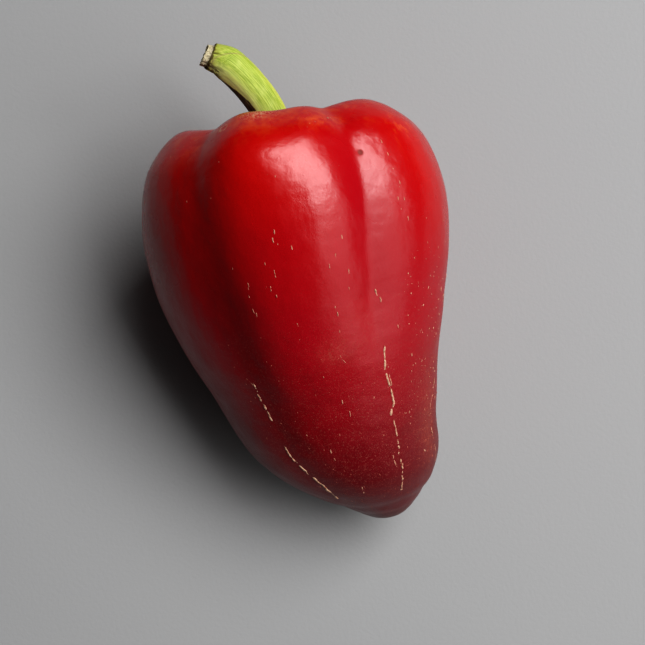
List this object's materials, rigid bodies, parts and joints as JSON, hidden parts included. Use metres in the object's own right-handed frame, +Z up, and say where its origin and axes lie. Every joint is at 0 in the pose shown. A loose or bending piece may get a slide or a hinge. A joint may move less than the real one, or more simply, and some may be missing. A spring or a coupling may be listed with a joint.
{
  "type": "sweet pepper",
  "caption": "Tapered, lobed red sweet pepper lying on its side, with a toothed green calyx in its hollow and a curved green stem.",
  "frame": {"origin": "on the surface that the pepper lies on, under the middle of the whole part's bounding box", "axes": "+Z up, +Y along the fruit from its blossom end towards its stem, +X to the right seen from above"},
  "size_m": [0.0738, 0.1234, 0.0757],
  "materials": {
    "pepper_skin": "waxy, semi-gloss red skin",
    "calyx_green": "matt green, slightly fleshy",
    "stem_green": "satin yellow-green with lengthwise fibres, dry and pale at the cut end"
  },
  "bodies": {
    "root": {"fruit": "pepper_skin", "calyx": "calyx_green", "stem": "stem_green"}
  },
  "joints": []
}
